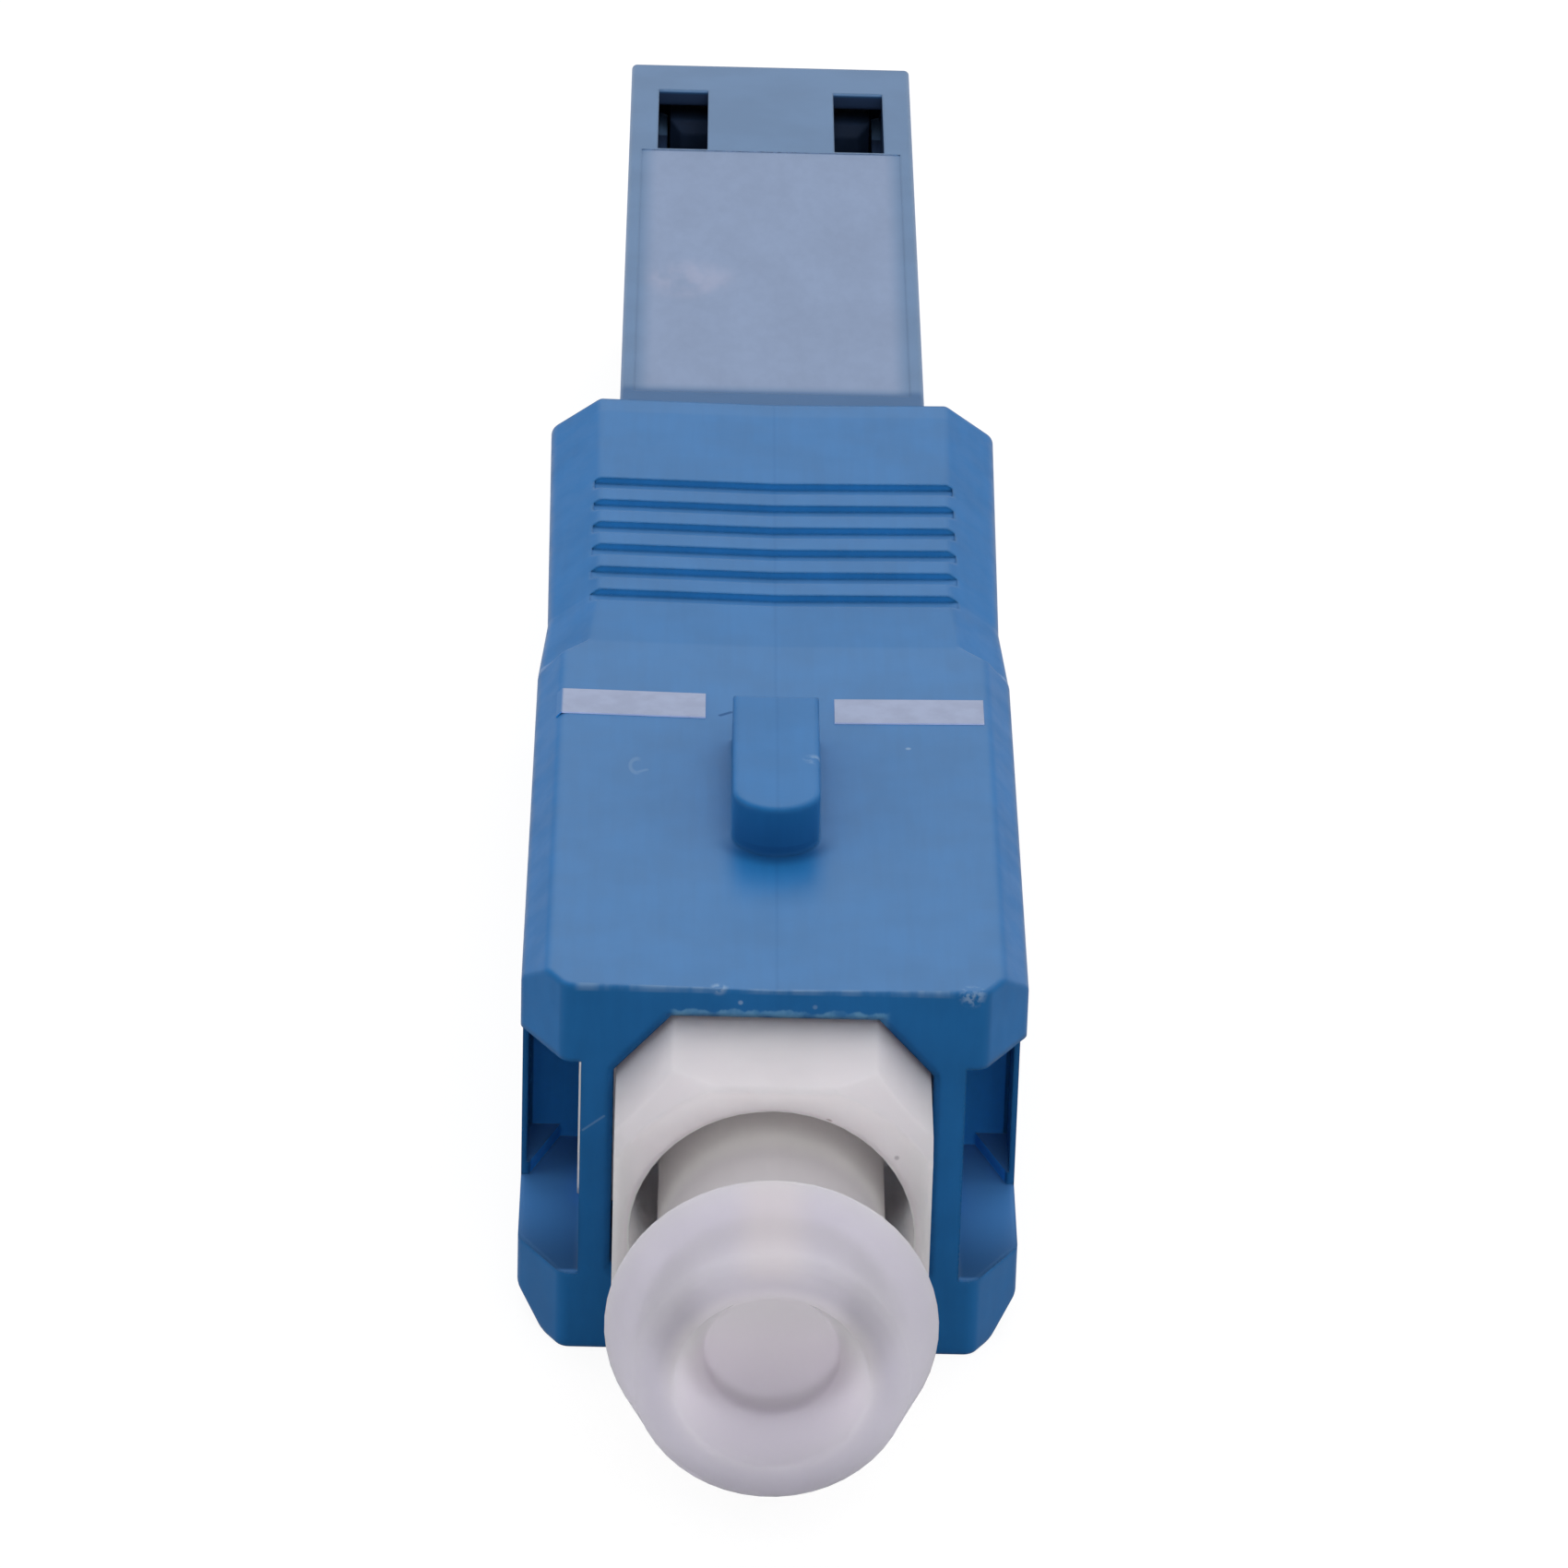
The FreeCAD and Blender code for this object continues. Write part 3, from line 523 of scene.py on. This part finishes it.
def print_white():
    """Thin print, rubbed off at its outer ends."""
    s = Shader("print_white")
    thin = s.vary(s.noise(2.5, 4.0), 0.93, 1.05)
    rubbed_end = s.above(s.wide(), PRINT_END, 0.03)
    # The rubbed ends take the housing's blue with the painted light of its upper faces
    colour = s.mix(rubbed_end, s.shade(PRINT_WHITE, thin), s.shade(BLUE, TOP_LIGHT_LIFT))
    # Painted light on the print's side walls
    colour = s.shade(colour, s.ramp(s.up, *SLOPE_PRINT, PRINT_WALL_LIGHT_LIFT, 1.0))
    s.surface(Base_Color=colour, Roughness=0.4, IOR=1.2)
    return s.material


def frame_white():
    s = Shader("frame_white")
    up = s.soft_edges(0.12)
    # Painted shade: the upper faces darker than the front ones
    colour = s.mix(s.ramp(up, *SLOPE_FRAME), FRAME_WHITE, FRAME_TOP_SHADED)
    colour = s.shade(colour, s.vary(s.noise(0.8, 2.0), 0.98, 1.02))
    # Painted light inside the bore
    colour = s.mix(s.below(s.from_axis(), BORE_RADIUS + 0.025, 0.025), colour, BORE_LIT_WHITE)
    grey = s.either(s.spots(FRAME_GREY), s.times(s.dust(0.9, 0.05, 0.2), FRAME_DUST))
    colour = s.mix(grey, s.mix(s.spots(FRAME_BROWN), colour, SPECK_BROWN), SPECK_GREY)
    s.surface(Base_Color=colour, Roughness=0.6, IOR=1.2, Transmission_Weight=0.35)
    s.surface(Subsurface_Weight=1.0, Subsurface_Scale=2.5 * MM, Subsurface_Radius=(1.0, 0.95, 0.95))
    return s.material


def zirconia():
    s = Shader("zirconia")
    colour = s.shade(CERAMIC_WHITE, s.vary(s.noise(1.5, 2.0), 0.97, 1.02))
    s.surface(Base_Color=colour, Roughness=s.vary(s.noise(9.0, 2.0), 0.12, 0.2), IOR=1.8)
    return s.material


def steel(name, colour, stretch):
    s = Shader(name)
    s.surface(Base_Color=colour, Metallic=1.0, Roughness=s.vary(s.noise(6.0, 2.0, stretch), 0.22, 0.38))
    return s.material


def glass():
    s = Shader("fibre_glass")
    s.surface(Base_Color=FIBRE_GLASS, Roughness=0.05, IOR=1.46, Transmission_Weight=0.8)
    return s.material


def holder_white():
    s = Shader("holder_white")
    colour = s.shade(HOLDER_WHITE, s.vary(s.noise(1.2, 3.0), 0.96, 1.03))
    s.surface(Base_Color=colour, Roughness=s.vary(s.noise(5.0), 0.36, 0.46), IOR=1.45)
    return s.material


def socket_blue():
    """Blue body: its roof paler than its sides by painted sheen, a satin panel on the roof painted paler
    still for its sheen, a painted shadow at the housing, painted light on steep faces under the roof's
    top and painted shade inside the latch windows.
    """
    s = Shader("socket_blue")
    wide = s.wide()
    # The panel is a real area with a finish of its own; its paler colour is painted sheen
    panel = s.times(
        s.fall(wide, PANEL_HALF - 0.4, PANEL_HALF + 0.03),
        s.ramp(s.station, PANEL_FRONT - 0.05, PANEL_FRONT + 0.5),
        s.below(s.station, PANEL_BACK),
        s.above(s.z, SOCKET_TOP - 0.15),
    )
    satin = s.times(
        s.vary(s.noise(0.9, 3.0, ACROSS_VIEW), 0.96, 1.03),
        s.vary(s.noise(5.0, 2.0, ACROSS_VIEW), 0.98, 1.02),
    )
    patches = s.ramp(s.noise(1.5, 3.0, ACROSS_VIEW), 0.35, 0.65)
    rubbed = s.times(s.spot(*PANEL_RUB), patches)
    face = s.mix(rubbed, s.shade(PANEL_SHEEN_BLUE, satin), RUBBED_PALE)

    # Plain surface: the roof, paler by painted sheen and with a painted shadow band at the housing, and
    # the sides
    shadow_band = s.below(s.station, PANEL_FRONT + 0.2, 0.2)
    roof = s.mix(shadow_band, ROOF_SHEEN_BLUE, SHADOW_BAND_BLUE)
    near_roof = s.above(s.z, SOCKET_TOP - 0.055, 0.025)
    plain = s.mix(s.either(s.ramp(s.up, *SLOPE_ROOF), near_roof), SIDE_BLUE, roof)
    plain = s.shade(plain, s.vary(s.noise(0.7, 3.0), 0.95, 1.05))
    # Painted light on the steep faces just under the roof's top, the panel's step among them
    step = s.times(near_roof, s.fall(s.up, *SLOPE_STEP))
    colour = s.lift(s.mix(panel, plain, face), step, STEP_LIGHT_LIFT)

    # Painted shade on the inner walls of the latch windows
    window_shade = s.times(
        s.window(wide, WINDOW_INNER, WINDOW_OUTER, 0.03),
        s.window(s.station, WINDOW_FRONT, WINDOW_BACK, 0.03),
        s.below(s.z, SOCKET_TOP - 0.07),
    )
    colour = s.mix(window_shade, colour, WINDOW_SHADE_BLUE)
    s.surface(Base_Color=colour, Roughness=s.ramp(panel, 0.0, 1.0, 0.3, 0.42), IOR=1.2)
    s.soft_edges(0.1)
    s.rough_skin(s.times(s.noise(9.0, 3.0, ACROSS_VIEW), panel), 0.001)
    return s.material


def cap_frosted():
    """Frosted white, with painted light and shade: the dish lighter above and darker below, a painted
    highlight on the top of the head, painted shade on the skirt and painted light on the neck.
    """
    s = Shader("cap_frosted")
    off_axis = s.from_axis()
    colour = s.shade(CAP_WHITE, s.vary(s.noise(0.9, 3.0), 0.98, 1.02))
    near_front = s.below(s.station, CAP_RIM + 0.5, 0.5)
    dish = s.times(s.below(off_axis, DISH_RADIUS, 0.25), near_front)
    # Painted light and shade on the dish: lighter above, darker below
    lit = s.ramp(s.z, AXIS_Z - 2.0, AXIS_Z + 0.9)
    colour = s.mix(dish, colour, s.mix(lit, DISH_SHADED_WHITE, DISH_LIT_WHITE))
    # Painted highlight along the top of the head
    brow_highlight = s.times(s.window(s.x, *BROW_SIDES, 0.35), s.above(s.z, AXIS_Z + 2.0, 0.3), near_front)
    colour = s.mix(brow_highlight, colour, BROW_HIGHLIGHT_WHITE)
    # Painted shade on the skirt
    skirt = s.times(s.below(off_axis, SKIRT_RADIUS, 0.15), s.above(s.station, CAP_RIM + 0.2, 0.2))
    colour = s.mix(skirt, colour, SKIRT_SHADED_WHITE)
    # Painted light on the neck, inside the frame's bore
    colour = s.mix(s.above(s.station, FRAME_FRONT - 0.2, 0.4), colour, NECK_LIT_WHITE)
    colour = s.mix(s.spots(CAP_RED), colour, SPECK_RED)
    colour = s.mix(s.spots(CAP_GREY), colour, SPECK_GREY)
    s.surface(Base_Color=colour, Roughness=0.6, IOR=1.15, Transmission_Weight=0.45)
    s.surface(Subsurface_Weight=1.0, Subsurface_Scale=1.5 * MM, Subsurface_Radius=(1.0, 0.97, 1.0))
    s.soft_edges(0.2)
    return s.material


def plug_black():
    s = Shader("plug_black")
    colour = s.shade(PLUG_BLACK, s.vary(s.noise(1.5, 3.0), 0.85, 1.15))
    s.surface(Base_Color=colour, Roughness=s.vary(s.noise(3.0, 3.0), 0.45, 0.6), IOR=1.15)
    s.soft_edges(0.12)
    s.rough_skin(s.noise(12.0, 2.0), 0.003)
    return s.material


ceramic = zirconia()
FINISHES = {
    "coupling_housing": housing_blue(),
    "insertion_marks": print_white(),
    "plug_frame": frame_white(),
    "sc_ferrule": ceramic,
    "ferrule_flange": steel("flange_steel", FLANGE_STEEL, TURNED),
    "ferrule_spring": steel("spring_steel", SPRING_STEEL, EVEN),
    "lc_stub_ferrule": ceramic,
    "optical_fibre": glass(),
    "split_sleeve": ceramic,
    "sleeve_holder": holder_white(),
    "lc_receptacle": socket_blue(),
    "dust_cap": cap_frosted(),
    "socket_plug": plug_black(),
}
for name, finish in FINISHES.items():
    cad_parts[name].data.materials.clear()
    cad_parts[name].data.materials.append(finish)


# Spring


def sprung_coil():
    """A copy of the spring's coil as a piece of its own, carried by the inner body, with the part hidden.
    """
    coil = bpy.data.objects.new("spring_coil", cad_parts["ferrule_spring"].data.copy())
    bpy.context.scene.collection.objects.link(coil)
    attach(coil, "inner")
    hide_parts("ferrule_spring")
    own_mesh(coil)


sprung_coil()


# Stage


def seen_directly(tree):
    """1 for camera, glossy and transmission rays, and 0 for the rays that light the object."""
    path = tree.nodes.new("ShaderNodeLightPath")
    total = path.outputs["Is Camera Ray"]
    for ray in ("Is Glossy Ray", "Is Transmission Ray"):
        add = tree.nodes.new("ShaderNodeMath")
        add.operation = "MAXIMUM"
        tree.links.new(total, add.inputs[0])
        tree.links.new(path.outputs[ray], add.inputs[1])
        total = add.outputs[0]
    return total


def diffuse(tree, colour):
    node = tree.nodes.new("ShaderNodeBsdfDiffuse")
    node.inputs["Color"].default_value = colour
    return node.outputs[0]


def floor():
    """A floor that looks near white and keeps a faint shadow, and lights the object as a grey one."""
    bpy.ops.mesh.primitive_plane_add(size=FLOOR_SIZE)
    plane = bpy.context.object
    plane.name = "floor"
    material = bpy.data.materials.new("floor_white")
    material.use_nodes = True
    tree = material.node_tree
    tree.nodes.clear()
    glow = tree.nodes.new("ShaderNodeEmission")
    glow.inputs["Strength"].default_value = FLOOR_GLOW
    shown = tree.nodes.new("ShaderNodeAddShader")
    tree.links.new(diffuse(tree, FLOOR_SHADED), shown.inputs[0])
    tree.links.new(glow.outputs[0], shown.inputs[1])
    mix = tree.nodes.new("ShaderNodeMixShader")
    tree.links.new(seen_directly(tree), mix.inputs[0])
    tree.links.new(diffuse(tree, FLOOR_LIT), mix.inputs[1])
    tree.links.new(shown.outputs[0], mix.inputs[2])
    out = tree.nodes.new("ShaderNodeOutputMaterial")
    tree.links.new(mix.outputs[0], out.inputs["Surface"])
    plane.data.materials.append(material)


def sky():
    """White where it is seen, and dimmer as a light."""
    world = bpy.data.worlds.new("sky")
    bpy.context.scene.world = world
    world.use_nodes = True
    tree = world.node_tree
    back = tree.nodes["Background"]
    back.inputs["Color"].default_value = (1, 1, 1, 1)
    level = tree.nodes.new("ShaderNodeMapRange")
    level.inputs["To Min"].default_value = AMBIENT
    level.inputs["To Max"].default_value = 1.0
    tree.links.new(seen_directly(tree), level.inputs[0])
    tree.links.new(level.outputs[0], back.inputs["Strength"])


def softbox(name, place, size, power):
    """A rectangular lamp that faces the part."""
    lamp = bpy.data.lights.new(name, "AREA")
    lamp.shape = "RECTANGLE"
    lamp.size, lamp.size_y = size
    lamp.energy = power
    box = bpy.data.objects.new(name, lamp)
    bpy.context.scene.collection.objects.link(box)
    box.location = place
    box.rotation_mode = "QUATERNION"
    box.rotation_quaternion = (-Vector(place)).to_track_quat("-Z", "Y")


def camera():
    data = bpy.data.cameras.new("camera")
    data.sensor_width = SENSOR
    data.lens = CAMERA_LENS
    data.clip_start, data.clip_end = CAMERA_CLIP
    view = bpy.data.objects.new("camera", data)
    bpy.context.scene.collection.objects.link(view)
    a, e, r = CAMERA_AZIMUTH, CAMERA_ELEVATION, CAMERA_ROLL
    back = Vector((sin(a) * cos(e), -cos(a) * cos(e), sin(e)))
    right = (-back).cross(Vector((0, 0, 1))).normalized()
    up = right.cross(-back)
    across = cos(r) * right + sin(r) * up
    above = cos(r) * up - sin(r) * right
    turn = Matrix((across, above, back)).transposed().to_4x4()
    view.matrix_world = Matrix.Translation(CAMERA_TARGET + back * CAMERA_DISTANCE) @ turn
    bpy.context.scene.camera = view


floor()
sky()
for name, (place, size, power) in LAMPS.items():
    softbox(name, place, size, power)
camera()
bpy.context.scene.view_settings.view_transform = "Standard"
